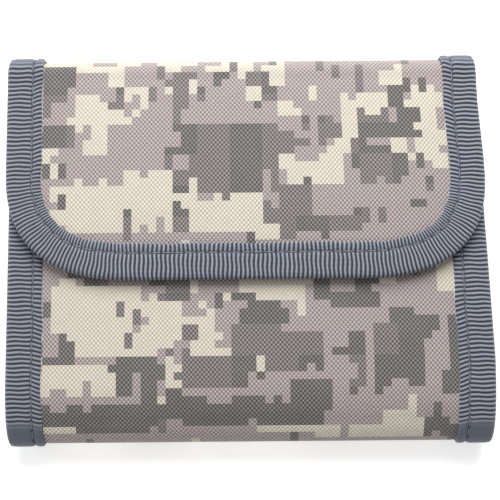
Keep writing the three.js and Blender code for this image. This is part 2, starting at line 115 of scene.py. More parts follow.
# Where the cloth starts and stops turning at each crease, as points (y, z) around the hinge's axis
BOTTOM_BACK_BEND = ((-51.2, 0.3), (-53.2, 2.3))
BOTTOM_FRONT_BEND = ((-53.2, 12.2), (-51.2, 14.2))
TOP_BACK_BEND = ((51.9, -0.3), (53.8, 1.6))
TOP_FLAP_BEND = ((53.8, 16.9), (51.9, 18.8))


def stacked(*coordinates):
    """Points out of their coordinates, each an array or one number."""
    return np.stack(np.broadcast_arrays(*coordinates), axis=-1)


# ---- The strip's side view, unfolded to a distance s from the flap's edge ----


def quarter(centre_y, centre_z, reach_y, reach_z, from_deg, to_deg):
    """A quarter of an ellipse in the YZ plane."""
    angle = np.radians(np.linspace(from_deg, to_deg, 33))
    return stacked(centre_y + reach_y * np.cos(angle), centre_z + reach_z * np.sin(angle))


BOTTOM_MID_Z = PANEL_Z / 2

# How far from each fold the strip is already flat
FLAP_ROUND = 5
FLAP_DROP = 4  # how far down the top fold the flap's round goes
TOP_BACK_ROUND = 4
BACK_ROUND = 8
FRONT_ROUND = 17
SEAM_Y = 46  # where the back's cloth is sewn to the cloth of the top fold


def fold_line():
    """The strip's outer skin: distances s, points (y, z), and the way inwards at each."""
    corners = [
        np.array([[FLAP_EDGE_Y, FLAP_Z]]),
        quarter(TOP_Y - FLAP_ROUND, FLAP_Z - FLAP_DROP, FLAP_ROUND, FLAP_DROP, 90, 0),
        quarter(TOP_Y - TOP_BACK_ROUND, TOP_BACK_ROUND, TOP_BACK_ROUND, TOP_BACK_ROUND, 0, -90),
        quarter(BOTTOM_Y + BACK_ROUND, BOTTOM_MID_Z, BACK_ROUND, BOTTOM_MID_Z, 270, 180),
        quarter(BOTTOM_Y + FRONT_ROUND, BOTTOM_MID_Z, FRONT_ROUND, PANEL_Z - BOTTOM_MID_Z, 180, 90),
        np.array([[PANEL_EDGE_Y, PANEL_Z]]),
    ]
    points = np.vstack(corners)
    gone = np.append(0, np.cumsum(np.hypot(*np.diff(points, axis=0).T)))
    s = np.linspace(0, gone[-1], 1200)
    line = np.column_stack([np.interp(s, gone, points[:, i]) for i in range(2)])
    heading = np.gradient(line, s, axis=0)
    heading /= np.hypot(*heading.T)[:, None]
    inward = np.column_stack([heading[:, 1], -heading[:, 0]])
    return s, line, inward


LINE_S, LINE, INWARD = fold_line()


# The strip was cut a little uneven: how far its right-hand edge stands out, by height y
UNEVEN_Y = (-53, -31, -2, 24, 40, 53)
UNEVEN_X = (1.0, 1.4, 0.3, -0.8, -1.9, -2.2)


def place(x, s, depth):
    """The point x across the strip and s along it, at a depth inside its outer skin."""
    y = np.interp(s, LINE_S, LINE[:, 0]) + depth * np.interp(s, LINE_S, INWARD[:, 0])
    z = np.interp(s, LINE_S, LINE[:, 1]) + depth * np.interp(s, LINE_S, INWARD[:, 1])
    x = x + np.clip(x, 0, None) / HALF_WIDTH * np.interp(y, UNEVEN_Y, UNEVEN_X)
    return stacked(x, y, z)


def along(y, z):
    """The distance s of the outer skin's point nearest to (y, z)."""
    return float(LINE_S[np.argmin(np.hypot(LINE[:, 0] - y, LINE[:, 1] - z))])


# Distances s: the strip's end, the folds, the seam, and where the flat stretches start and end
S_END = float(LINE_S[-1])
S_TOP = along(TOP_Y, FLAP_Z / 2)
S_SEAM = along(SEAM_Y, 0)
S_BOTTOM = along(BOTTOM_Y, BOTTOM_MID_Z)
S_FLAP_FOLD = along(TOP_Y - FLAP_ROUND, FLAP_Z)
S_BACK_TOP = along(TOP_Y - TOP_BACK_ROUND, 0)
S_BACK_BOTTOM = along(BOTTOM_Y + BACK_ROUND, 0)
S_FRONT_FOLD = along(BOTTOM_Y + FRONT_ROUND, PANEL_Z)


def smooth(value, low, high):
    t = np.clip((value - low) / (high - low), 0, 1)
    return t * t * (3 - 2 * t)


def box(node):
    """A CAD node's lowest and highest corners."""
    return [np.array(corner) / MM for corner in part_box(node)]


# ---- Meshes ----


def added(name, data):
    """A new object in the scene."""
    thing = bpy.data.objects.new(name, data)
    bpy.context.scene.collection.objects.link(thing)
    return thing


def finished(
    name, vertices, faces, body, material, slot, uv=None, relief=None, printed=False, sharp=50
):
    """An object of these millimetre vertices, riding on a body when one is named, or else left in
    place unattached.
    """
    mesh = bpy.data.meshes.new(name)
    mesh.from_pydata((np.asarray(vertices) * MM).tolist(), [], faces)
    if printed:
        middle = np.asarray(uv)[np.array(faces)].mean(axis=1)
        tone = mesh.uv_layers.new(name="Print")
        tone.data.foreach_set("uv", np.repeat(print_at(middle), 4, axis=0).ravel())
    for label, values in (("Weave", uv), ("Relief", relief)):
        if values is None:
            continue
        layer = mesh.uv_layers.new(name=label)
        corner = np.empty(len(mesh.loops), int)
        mesh.loops.foreach_get("vertex_index", corner)
        layer.data.foreach_set("uv", np.asarray(values, np.float32)[corner].ravel())
    shape = bmesh.new()
    shape.from_mesh(mesh)
    loose = [v for v in shape.verts if not v.link_faces]
    bmesh.ops.delete(shape, geom=loose, context="VERTS")
    bmesh.ops.recalc_face_normals(shape, faces=shape.faces)
    shape.to_mesh(mesh)
    shape.free()
    mesh.shade_smooth()
    if sharp:
        mesh.set_sharp_from_angle(angle=math.radians(sharp))
    mesh.materials.append(material)
    piece = added(name, mesh)
    if isinstance(body, str):
        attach(piece, body)
    else:
        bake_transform(piece)
    return piece


BACK_TO_BOTTOM = ("back", "bottom_spine", BOTTOM_BACK_BEND)
BOTTOM_TO_FRONT = ("bottom_spine", "front_panel", BOTTOM_FRONT_BEND)
BACK_TO_TOP = ("back", "top_spine", TOP_BACK_BEND)
TOP_TO_FLAP = ("top_spine", "flap", TOP_FLAP_BEND)


def grid_solid(near, far, present=None):
    """Vertices and faces of a sheet with two faces, with walls wherever a cell has no neighbour."""
    rows, cols = near.shape[:2]
    if present is None:
        present = np.ones((rows - 1, cols - 1), bool)
    count = rows * cols
    vertices = np.vstack([near.reshape(-1, 3), far.reshape(-1, 3)])
    padded = np.pad(present, 1)
    faces = []

    def wall(a, b):
        faces.append((a, b, b + count, a + count))

    for r, c in zip(*np.nonzero(present)):
        a = int(r) * cols + int(c)
        b, d = a + 1, a + cols
        e = d + 1
        faces.append((a, b, e, d))
        faces.append((a + count, d + count, e + count, b + count))
        if not padded[r, c + 1]:
            wall(b, a)
        if not padded[r + 2, c + 1]:
            wall(d, e)
        if not padded[r + 1, c]:
            wall(a, d)
        if not padded[r + 1, c + 2]:
            wall(e, b)
    return vertices, faces


def grid(low, high, columns, rows):
    """Evenly spaced x and y over a box's footprint."""
    return np.meshgrid(np.linspace(low[0], high[0], columns), np.linspace(low[1], high[1], rows))


def both_faces(u, v):
    """UV coordinates for a sheet from grid_solid: the same on its near and far faces."""
    uv = stacked(u, v).reshape(-1, 2)
    return np.vstack([uv, uv])


def joined(parts):
    """One vertex and face list out of several."""
    vertices, faces, start = [], [], 0
    for points, polygons in parts:
        vertices.append(points)
        faces.extend([tuple(i + start for i in polygon) for polygon in polygons])
        start += len(points)
    return np.vstack(vertices), faces


def swept(rings, sides):
    """The faces between closed rings of vertices, and over both ends."""
    faces = []
    for a in range(0, (rings - 1) * sides, sides):
        for j in range(sides):
            k = (j + 1) % sides
            faces.append((a + j, a + k, a + sides + k, a + sides + j))
    faces.append(tuple(range(sides)))
    faces.append(tuple((rings - 1) * sides + j for j in range(sides)))
    return faces


def tube(points, radius, sides=5):
    """A closed round bar along these points, with a radius for each point."""
    points = np.asarray(points, float)
    radius = np.broadcast_to(radius, len(points))
    heading = np.gradient(points, axis=0)
    heading /= np.linalg.norm(heading, axis=1)[:, None]
    across = np.cross(heading, (0.12, 0.3, 1.0))
    across /= np.linalg.norm(across, axis=1)[:, None]
    up = np.cross(heading, across)
    angle = np.arange(sides) * 2 * math.pi / sides
    ring = (
        np.cos(angle)[None, :, None] * across[:, None]
        + np.sin(angle)[None, :, None] * up[:, None]
    )
    vertices = (points[:, None] + ring * radius[:, None, None]).reshape(-1, 3)
    return vertices, swept(len(points), sides)


def stitches(path):
    """Thread lying on a path: one short bar for each stitch."""
    path = np.asarray(path, float)
    gone = np.append(0, np.cumsum(np.linalg.norm(np.diff(path, axis=0), axis=1)))
    parts = []
    count = int((gone[-1] - STITCH) / STITCH_PITCH) + 1
    start = (gone[-1] - (count - 1) * STITCH_PITCH - STITCH) / 2
    for k in range(count):
        at = start + k * STITCH_PITCH + np.array([0, 0.12, 0.5, 0.88, 1]) * STITCH
        points = np.column_stack([np.interp(at, gone, path[:, i]) for i in range(3)])
        parts.append(tube(points, THREAD * np.array([0.35, 0.85, 1, 0.85, 0.35])))
    return joined(parts)


# ---- Outlines in the unfolded strip: points (x, s), with the direction inwards ----


def free_end(corner, edge_s, towards):
    """Half of a bound free end: its corner, from the end's straight part to the straight side."""
    half_x, half_s, power = corner
    angle = np.linspace(math.pi / 2, 0, 60)
    c = np.cos(angle).clip(1e-9)
    d = np.sin(angle).clip(1e-9)
    x = HALF_WIDTH - half_x + half_x * c ** (2 / power)
    s = edge_s + towards * (half_s - half_s * d ** (2 / power))
    normal = stacked(c ** (2 - 2 / power) / half_x, -towards * d ** (2 - 2 / power) / half_s)
    normal /= np.hypot(*normal.T)[:, None]
    return np.column_stack([x, s]), -normal


def end_rail(corner, edge_s, towards, last_s):
    """The whole bound edge of a panel, from one side over its free end to the other."""
    points, inward = free_end(corner, edge_s, towards)
    points = np.vstack([points, [[HALF_WIDTH, last_s]]])
    inward = np.vstack([inward, [[-1, 0]]])
    flip = np.array([-1, 1])
    return np.vstack([points[::-1] * flip, points]), np.vstack([inward[::-1] * flip, inward])


def side_rail(side, from_s, to_s):
    points = np.array([[side * HALF_WIDTH, from_s], [side * HALF_WIDTH, to_s]])
    return points, np.array([[-side, 0.0], [-side, 0.0]])


def resampled(rail, pitch):
    """How far along a rail its own points are, and evenly spaced stations near this pitch."""
    gone = np.append(0, np.cumsum(np.hypot(*np.diff(rail[0], axis=0).T)))
    count = max(2, round(gone[-1] / pitch) + 1)
    return gone, np.linspace(0, gone[-1], count)


def on_rail(rail, gone, t, inset):
    """Where a point is, this far along a rail and this far in from it."""
    points, inward = rail
    at = [np.interp(t, gone, points[:, i]) for i in range(2)]
    n = [np.interp(t, gone, inward[:, i]) for i in range(2)]
    length = np.hypot(*n)
    return at[0] + inset * n[0] / length, at[1] + inset * n[1] / length


# ---- Binding ----


def tape_section():
    """The folded tape's section, from its inner edge on the outer face round to the other one.

    Each row is the distance in from the bound edge, the depth, and the share of the ribs' relief.
    """
    face = []
    for inset in (10.0, 9.92, 9.6, 9.0, 8.3, 7.7, GROOVE, 6.9, 6.3, 5.2, 4.0, 2.8, 1.9):
        lip = 0.42 * (1 - smooth(10.0 - inset, 0, 0.5))
        groove = 0.34 * math.exp(-(((inset - GROOVE) / 0.42) ** 2))
        share = 1 - 0.75 * math.exp(-(((inset - GROOVE) / 0.35) ** 2))
        face.append((inset, lip + groove, share * (0.5 + 0.5 * smooth(10.0 - inset, 0, 0.4))))
    turn = []
    for degrees in (-68, -46, -23, 0, 23, 46, 68):
        angle = math.radians(degrees)
        inset = 1.35 * (1 - math.cos(angle))
        turn.append((inset, EDGE / 2 * (1 + math.sin(angle)), 0.55 - 0.35 * math.cos(angle)))
    under = [(inset, EDGE - depth, share) for inset, depth, share in reversed(face)]
    # The slot that holds the edge of the cloth
    inside = [(9.9, 2.05, 0), (5, 2.05, 0), (1.4, 1.8, 0), (1.4, 0.8, 0), (5, 0.6, 0), (9.9, 0.6, 0)]
    return np.array(face + turn + under + inside)


def section_normals(section):
    """Which way is out of the tape at each point of its section."""
    ahead = np.roll(section, -1, axis=0) - np.roll(section, 1, axis=0)
    normal = np.column_stack([-ahead[:, 1], ahead[:, 0]])
    return normal / np.hypot(*normal.T)[:, None]


def within(s, start, full, waning, end):
    """1 between two distances, fading to 0 outside them."""
    return smooth(s, start, full) * (1 - smooth(s, waning, end))


def fold_share(s):
    """1 where the tape goes round a fold, 0 on the flat."""
    top = within(s, S_FLAP_FOLD + 1.5, S_FLAP_FOLD + 5, S_BACK_TOP - 3, S_BACK_TOP)
    bottom = within(s, S_BACK_BOTTOM, S_BACK_BOTTOM + 4, S_FRONT_FOLD - 13, S_FRONT_FOLD - 10)
    return top + bottom


def proud_of_cloth(s):
    """How far the tape stands out of the cloth beside it: further round the folds."""
    top = within(s, S_FLAP_FOLD - 3, S_FLAP_FOLD + 4, S_BACK_TOP - 3, S_BACK_TOP + 3)
    bottom = within(s, S_BACK_BOTTOM - 2, S_BACK_BOTTOM + 5, S_FRONT_FOLD - 13, S_FRONT_FOLD - 4)
    return 0.15 + 0.8 * top + 0.45 * bottom


def slant_at(s):
    """How far the ribs lean inside the stitching: one way on the flap, the other on the front."""
    flap = within(s, 18, 40, S_TOP, S_TOP + 5)
    front = within(s, S_BOTTOM, S_BOTTOM + 5, S_FRONT_FOLD + 11, S_FRONT_FOLD + 36)
    return flap - front


def binding(name, rail, body, material, nodes):
    """Ribbed tape folded over a rail, swept station by station."""
    section = tape_section()
    normals = section_normals(section[:, :2])
    gone, t = resampled(rail, RIB / len(RIB_PROFILE))
    height = np.array(RIB_PROFILE)[np.arange(len(t)) % len(RIB_PROFILE)]
    draw = random.Random(len(t))
    height = height * np.repeat([draw.uniform(0.75, 1.1) for _ in t], len(RIB_PROFILE))[: len(t)]
    inset, depth, share = section.T
    station_s = on_rail(rail, gone, t, 0)[1]
    climb = np.sign(np.gradient(station_s))
    lean = slant_at(station_s) * RIB_SLANT * climb
    shift = np.clip(inset - GROOVE, 0, None)[None, :] * lean[:, None]
    # The ribs wander a little, except at the tape's ends
    shift = shift + 0.10 * np.sin(inset[None, :] * 1.1 + t[:, None] * 0.35)
    shift = shift * smooth(np.minimum(t, gone[-1] - t), 0, 3)[:, None]
    at = np.clip(t[:, None] + shift, 0, gone[-1])
    ribbed = 1 - fold_share(station_s)
    # Ribs stand above the tape's mean face, and the gaps between them lie below it
    lift = RIB_HEIGHT * (height * ribbed - 0.4 * ribbed)[:, None] * share[None, :]
    ends = np.minimum(t, gone[-1] - t)
    lift = lift * smooth(ends, 0, 0.3)[:, None]
    waver = (0.12 * np.sin(t / 4.3) + 0.10 * np.sin(t / 1.9 + 1)) * smooth(ends, 0, 3)
    outward = inset[None, :] + normals[None, :, 0] * lift + waver[:, None] * (inset / TAPE_WIDTH)
    deep = depth[None, :] + normals[None, :, 1] * lift
    outer = np.clip(1 - depth / (EDGE / 2), 0, 1)
    deep = deep - proud_of_cloth(station_s)[:, None] * outer[None, :]
    x, s = on_rail(rail, gone, at, outward)
    vertices = place(x, s, deep).reshape(-1, 3)
    faces = swept(len(t), len(section))
    uv = stacked(inset[None, :], t[:, None]).reshape(-1, 2)
    relief = stacked(ribbed[:, None], share[None, :]).reshape(-1, 2)
    piece = finished(name, vertices, faces, body, material, "binding_tape", uv, relief, sharp=0)
    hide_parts(*nodes)


def binding_stitches(name, rails, body, material):
    parts = []
    for rail in rails:
        gone, t = resampled(rail, 1.0)
        x, s = on_rail(rail, gone, t, GROOVE)
        proud = proud_of_cloth(s)
        parts.append(stitches(place(x, s, SUNK - proud)))
        parts.append(stitches(place(x, s, EDGE - SUNK)))
    vertices, faces = joined(parts)
    finished(name, vertices, faces, body, material, "binding_tape", vertices[:, :2])


# ---- The print: a lattice of small cells over the whole strip ----

CELL = (2.25, 2.15)
BACK_BLOCKS = 110  # blocks scattered from the top fold over the back to the bottom fold
HIDDEN_BLOCKS = 30  # and under the flap
DASHES = 300  # pairs of cells, over everything
LATTICE_STEP = (CELL[0] / 2, CELL[1] / 3)
SAND, MAUVE, GREY, DARK = range(4)

# The larger blocks that show when the wallet is closed, by tone: middle x, y and half sizes x, y.
# Later blocks cover earlier ones.
FLAP_BLOCKS = (
    (SAND, ((-27, 51, 30, 2.2), (-38.5, 37.5, 12.5, 6), (-33, 44.5, 6, 6), (-41, 29.5, 4, 3.5),
            (-33, 11, 22, 7), (-28, 20, 8.5, 2.5), (-3, 10, 8, 5.5), (20, 21.5, 11.5, 3.5),
            (26.5, 27, 2.5, 3), (14, 38, 4, 2.5), (33.5, 38.5, 6.5, 3.5), (50.5, 34, 4.5, 11),
            (44, 46.5, 4, 1.6), (42, 28, 4, 2), (29.5, 33, 2, 4), (-54, 26.5, 2.2, 2.2))),
    (GREY, ((-52, 44.5, 4.2, 6), (-37, 41, 2.2, 3.5), (-17.5, 43, 2.8, 5.5),
            (-6.5, 28.5, 15.5, 6.5), (-5, 19, 12, 3.2), (12, 27.5, 5, 2.5), (2.2, 46, 3, 2.8),
            (23.5, 33, 3.6, 3), (36, 32.5, 4, 2.8), (42.5, 41, 2.8, 3.5), (45, 33, 2.7, 3.3),
            (33, 27.5, 4, 2.5), (37, 21.5, 7, 4.5), (47, 14, 3, 2.5), (14.5, 11.5, 4.5, 5),
            (21, 6.5, 10, 2.2), (8, 9, 2.5, 2), (-52, 31, 5, 2.2), (-53, 21.5, 2.8, 2.7),
            (-19.5, 10, 1.3, 3))),
    (MAUVE, ((-29, 48.5, 4.5, 2.5), (-29.5, 28, 6, 6), (-40, 23, 5, 3.5))),
)
FRONT_BLOCKS = (
    (SAND, ((-43, -18, 14, 8.5), (-46, -35.5, 10.5, 4.8), (-19.5, -22, 13, 7), (-36, -25, 7, 4.5),
            (-21, -35, 2.2, 7), (-2.5, -29, 2.7, 3.2), (7.5, -11, 10, 3.5), (37, -8, 4, 1.5),
            (55, -8, 2.5, 5))),
    (GREY, ((-52, -28, 4.8, 2.8), (-29, -32.3, 6.8, 3.7), (-8, -33.5, 10.5, 5),
            (-31, -20, 1.3, 3.5), (-20, -11, 5, 3.2), (3, -19.5, 5.5, 4), (10.5, -28, 10.5, 4.8),
            (26.5, -12.5, 8.5, 3.5), (41, -30, 6.5, 9), (47, -20.5, 8, 2.6), (56, -28, 3, 10),
            (29, -31, 2, 9), (-27, -39, 3, 3.5))),
    (DARK, ((-38, -46.5, 19.5, 5), (1, -44.3, 21, 4), (16, -39, 6, 3.5), (50, -48, 6, 2.6))),
    (SAND, ((-49.5, -49.5, 2.4, 1.2), (-12, -49.5, 4, 2), (11, -49.5, 10, 1.8),
            (35, -50.5, 12, 1.6), (41, -46.5, 3.5, 1.4))),
    (MAUVE, ((5, -38.5, 4.5, 2.4), (27, -45.5, 5, 3.5), (-16.7, -16, 2.2, 2.6))),
)


ON_FLAP = LINE_S < S_TOP
ON_FRONT = LINE_S > S_BOTTOM


def at_height(y, part):
    """The distance s of the skin at height y, on the flap or on the front panel."""
    return float(np.interp(y, LINE[part, 0], LINE_S[part]))


def camouflage_print():
    """The tone of each cell, and how many columns of cells are left of the middle."""
    draw = random.Random(11)
    rows = math.ceil(S_END / CELL[1]) + 1
    half = math.ceil(HALF_WIDTH / CELL[0])
    tones = np.full((rows, 2 * half), MAUVE)

    def fill(tone, x, s, half_x, half_s):
        columns = [max(0, round((x + side * half_x) / CELL[0]) + half) for side in (-1, 1)]
        lines = [max(0, round((s + side * half_s) / CELL[1])) for side in (-1, 1)]
        tones[lines[0] : lines[1], columns[0] : columns[1]] = tone

    def block(tone, x, s, half_x, half_s):
        """A rectangle with steps and bites along its edges."""
        fill(tone, x, s, half_x, half_s)
        for _ in range(int((half_x + half_s) / 2.5)):
            turn = draw.uniform(0, 2 * math.pi)
            edge_x = x + half_x * max(-1, min(1, 1.5 * math.cos(turn)))
            edge_s = s + half_s * max(-1, min(1, 1.5 * math.sin(turn)))
            wide = draw.choice((0.5, 0.5, 1, 1.5)) * CELL[0]
            tall = draw.choice((0.5, 1, 1, 1.5)) * CELL[1]
            fill(draw.choice((tone, tone, MAUVE)), edge_x, edge_s, wide, tall)

    def scattered(count, from_s, to_s):
        for _ in range(count):
            x = draw.uniform(-HALF_WIDTH, HALF_WIDTH)
            s = draw.uniform(from_s, to_s)
            size = (draw.uniform(3, 10), draw.uniform(2.5, 7))
            block(draw.choice((SAND, SAND, GREY, GREY, MAUVE)), x, s, *size)

    scattered(BACK_BLOCKS, S_FLAP_FOLD, S_BOTTOM)
    scattered(HIDDEN_BLOCKS, at_height(FLAP_EDGE_Y, ON_FRONT), S_END)
    for groups, part in ((FLAP_BLOCKS, ON_FLAP), (FRONT_BLOCKS, ON_FRONT)):
        for tone, blocks in groups:
            for x, y, half_x, half_y in blocks:
                block(tone, x, at_height(y, part), half_x, half_y)
    for _ in range(DASHES):
        x = draw.uniform(-HALF_WIDTH, HALF_WIDTH)
        s = draw.uniform(0, S_END)
        fill(draw.choice((SAND, MAUVE, GREY, GREY)), x, s, CELL[0] * 0.5, CELL[1])
    # Grey turns dark in patches of 4 by 4 cells
    shaded = np.array([[draw.random() for _ in row] for row in tones])
    cold = np.kron(shaded[::4, ::4], np.ones((4, 4)))[: tones.shape[0], : tones.shape[1]]
    tones[(tones == GREY) & (cold > 0.55)] = DARK
    return tones, half


PRINT, PRINT_HALF = camouflage_print()


def print_at(points):
    """The tone of the print at these points (x, s), beside a little of each cell's own shade."""
    column = np.clip(np.floor(points[:, 0] / CELL[0]).astype(int) + PRINT_HALF, 0, PRINT.shape[1] - 1)
    row = np.clip((points[:, 1] / CELL[1]).astype(int), 0, PRINT.shape[0] - 1)
    shade = np.mod(np.sin(column * 12.9898 + row * 78.233) * 437.58, 1)
    return np.column_stack([PRINT[row, column], shade]).astype(np.float32)


# ---- Panels: outer cloth over foam, and lining ----


def swell(x, s, held):
    """How far a stretched cloth rises under pressure, held at some points: 0 to 1.

    Cloth physics finds the heights, and a power below 1 fills the crown out.
    """
    rows, cols = x.shape
    points = stacked(x * SIM_SCALE, s * SIM_SCALE, 0.0)
    faces = [
        (r * cols + c, r * cols + c + 1, (r + 1) * cols + c + 1, (r + 1) * cols + c)
        for r in range(rows - 1)
        for c in range(cols - 1)
    ]
    mesh = bpy.data.meshes.new("swell")
    mesh.from_pydata(points.reshape(-1, 3).tolist(), [], faces)
    cloth = added("swell", mesh)
    group = cloth.vertex_groups.new(name="held")
    group.add(np.nonzero(held.ravel())[0].tolist(), 1.0, "REPLACE")
    modifier = cloth.modifiers.new("cloth", "CLOTH")
    settings = modifier.settings
    settings.quality = 5
    settings.mass = 0.3
    settings.tension_stiffness = 20
    settings.compression_stiffness = 20
    settings.shear_stiffness = 8
    settings.bending_stiffness = 0.6
    settings.shrink_min = -0.012
    settings.vertex_group_mass = "held"
    settings.use_pressure = True
    settings.uniform_pressure_force = 4
    settings.effector_weights.gravity = 0
    modifier.collision_settings.use_collision = False
    modifier.point_cache.frame_start = 1
    modifier.point_cache.frame_end = SIM_FRAMES
    for number in range(1, SIM_FRAMES + 1):
        bpy.context.scene.frame_set(number)
    result = cloth.evaluated_get(bpy.context.evaluated_depsgraph_get())
    heights = np.array([v.co.z for v in result.data.vertices]).reshape(rows, cols)
    bpy.data.objects.remove(cloth)
    bpy.data.meshes.remove(mesh)
    bpy.context.scene.frame_set(1)
    heights = heights.clip(0)
    return (heights / heights.max()) ** 0.7


def lattice(low, high, step):
    """Lines at whole multiples of a step between two ends, and the ends."""
    first = math.ceil(low / step + 0.2)
    last = math.floor(high / step - 0.2)
    return np.concatenate([[low], np.arange(first, last + 1) * step, [high]])


def between(xs, ss, values, x, s):
    """Values known on one grid, read off linearly on another: x in its columns and s in its rows."""
    rows = np.array([np.interp(x[0], xs, row) for row in values])
    return np.array([np.interp(s[:, 0], ss, column) for column in rows.T]).T


class Panel:
    """One stretch of the strip between two distances along it, with an optional bound free end."""

    def __init__(self, name, ends, foam, foam_ends, rail=None, fastener=None):
        self.name = name
        self.ends = ends
        self.rail = rail
        self.foam = foam  # depths of the foam's and the lining's inner faces
        self.foam_ends = foam_ends
        self.fastener = fastener  # half width, and ends along the strip, of a strip sewn on
        caught = 1.8  # from the bound edge to the cloth's own edge, inside the tape
        xs = lattice(caught - HALF_WIDTH, HALF_WIDTH - caught, LATTICE_STEP[0])
        self.x, self.s = np.meshgrid(xs, lattice(*ends, LATTICE_STEP[1]))
        self.inset = self.from_edge(self.x, self.s)
        cell = (self.inset[1:, 1:] + self.inset[:-1, :-1]) / 2
        self.present = cell > caught - 0.4
        # 1 over the foam, fading to 0 outside it
        self.padded = (
            smooth(self.inset, TAPE_WIDTH, TAPE_WIDTH + 3)
            * smooth(self.s, foam_ends[0] - 1, foam_ends[0] + 2)
            * (1 - smooth(self.s, foam_ends[1] - 2, foam_ends[1] + 1))
        )

    def from_edge(self, x, s):
        """How far inside the panel's bound edge these points are: below 0 outside it."""
        nearest = HALF_WIDTH - abs(x)
        if self.rail:
            gone, t = resampled(self.rail, 0.7)
            edge = np.column_stack(on_rail(self.rail, gone, t, 0))
            inward = np.column_stack(on_rail(self.rail, gone, t, 1)) - edge
            from_rail = np.full(x.shape, np.inf)
            for (px, ps), (nx, ns) in zip(edge, inward):
                away = np.hypot(x - px, s - ps)
                outside = (x - px) * nx + (s - ps) * ns < 0
                signed = np.where(outside, -away, away)
                from_rail = np.where(away < abs(from_rail), signed, from_rail)
            nearest = np.minimum(nearest, from_rail)
        return nearest

    def rise(self):
        """The crown that the foam gives the cloth, from a simulation on a coarser grid."""
        xs = np.linspace(-HALF_WIDTH, HALF_WIDTH, 61)
        ss = np.linspace(*self.ends, max(8, round((self.ends[1] - self.ends[0]) / 2.2)))
        x, s = np.meshgrid(xs, ss)
        held = self.from_edge(x, s) < TAPE_WIDTH - 0.3
        held |= (s < self.foam_ends[0]) | (s > self.foam_ends[1])
        held |= abs(s - S_SEAM) < 3
        if self.fastener:
            half_x, low, high = self.fastener
            held |= (abs(x) < half_x) & (s > low) & (s < high)
        if held.all():
            return np.zeros_like(self.x)
        return CROWN * between(xs, ss, swell(x, s, held), self.x, self.s)

    def uv(self):
        return both_faces(self.x, self.s)

    def cloth(self, body, material, nodes):
        """Outer cloth with its foam: crowned outside, flat against the lining."""
        outer = 0.55 - 0.3 * smooth(self.inset, TAPE_WIDTH - 1.2, TAPE_WIDTH + 1) - self.rise()
        inner = 1.25 + (self.foam[0] - 1.25) * self.padded
        near = place(self.x, self.s, outer)
        far = place(self.x, self.s, inner)
        solid = grid_solid(near, far, self.present)
        look = (material, "camouflage_cloth", self.uv())
        piece = finished(self.name + "_cloth", *solid, body, *look, printed=True)
        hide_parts(*nodes)

    def lining(self, body, material, nodes):
        thin = 0.6
        upper = 1.3 + (self.foam[1] - thin - 1.3) * self.padded
        near = place(self.x, self.s, upper)
        far = place(self.x, self.s, upper + thin)
        solid = grid_solid(near, far, self.present)
        piece = finished(
            self.name + "_lining_cloth", *solid, body, material, "lining_cloth", self.uv()
        )
        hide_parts(*nodes)


# ---- Materials ----


class Graph:
    """A material's nodes, through short calls. Values are numbers or node outputs."""

    def __init__(self, name, **constants):
        self.material = bpy.data.materials.new(name)
        self.material.use_nodes = True
        self.tree = self.material.node_tree
        self.shader = self.tree.nodes["Principled BSDF"]
        for label, value in constants.items():
            self.shader.inputs[label.replace("_", " ")].default_value = value

    def node(self, kind, *values, **properties):
        node = self.tree.nodes.new("ShaderNode" + kind)
        for key, value in properties.items():
            setattr(node, key, value)
        for socket, value in zip(node.inputs, values):
            self.feed(value, socket)
        return node

    def feed(self, value, socket):
        if isinstance(value, bpy.types.NodeSocket):
            self.tree.links.new(value, socket)
        elif value is not None:
            socket.default_value = value

    def math(self, operation, *values):
        return self.node("Math", *values, operation=operation).outputs[0]

    def times(self, a, b):
        return self.math("MULTIPLY", a, b)

    def step(self, value, low, high):
        node = self.node("MapRange", value, low, high, interpolation_type="SMOOTHSTEP")
        return node.outputs[0]

    def mix(self, share, a, b, blend="MIX"):
        node = self.node("Mix", data_type="RGBA", blend_type=blend)
        self.feed(share, node.inputs["Factor"])
        for key, value in (("A", a), ("B", b)):
            socket = next(i for i in node.inputs if i.name == key and i.type == "RGBA")
            self.feed(value if isinstance(value, bpy.types.NodeSocket) else (*value, 1), socket)
        return next(o for o in node.outputs if o.type == "RGBA")

    def uv(self, name="Weave"):
        split = self.node("SeparateXYZ", self.node("UVMap", uv_map=name).outputs[0])
        return split.outputs[0], split.outputs[1]

    def vector(self, x, y, z=0.0):
        return self.node("CombineXYZ", x, y, z).outputs[0]

    def where(self):
        return self.node("TexCoord").outputs["Object"]

    def noise(self, vector, scale, detail=2.0):
        node = self.node("TexNoise", noise_dimensions="3D")
        self.feed(vector, node.inputs["Vector"])
        self.feed(scale, node.inputs["Scale"])
        self.feed(detail, node.inputs["Detail"])
        return node.outputs[0]

    def bump(self, height, distance):
        node = self.node("Bump")
        self.feed(height, node.inputs["Height"])
        node.inputs["Distance"].default_value = distance
        self.feed(node.outputs[0], self.shader.inputs["Normal"])

    def colour(self, value):
        self.feed(value, self.shader.inputs["Base Color"])

    def rough(self, base, value, share):
        total = self.math("ADD", base, self.times(value, share))
        self.feed(total, self.shader.inputs["Roughness"])


def linear(red, green, blue):
    """An sRGB colour out of 255 as the linear one that a shader takes."""
    share = np.array([red, green, blue]) / 255
    return tuple(np.where(share <= 0.04045, share / 12.92, ((share + 0.055) / 1.055) ** 2.4))


TONES = {
    SAND: linear(222, 213, 196),
    MAUVE: linear(184, 170, 168),
    GREY: linear(137, 129, 127),
    DARK: linear(114, 110, 107),
}


def diamond_weave(g, x, s, pitch_x, pitch_s):
    """Raised yarn crossings in a diamond lattice: 1 on a crossing, -1 between."""
    across = g.math("COSINE", g.times(x, 2 * math.pi / pitch_x))
    down = g.math("COSINE", g.times(s, 2 * math.pi / pitch_s))
    return g.times(across, down)


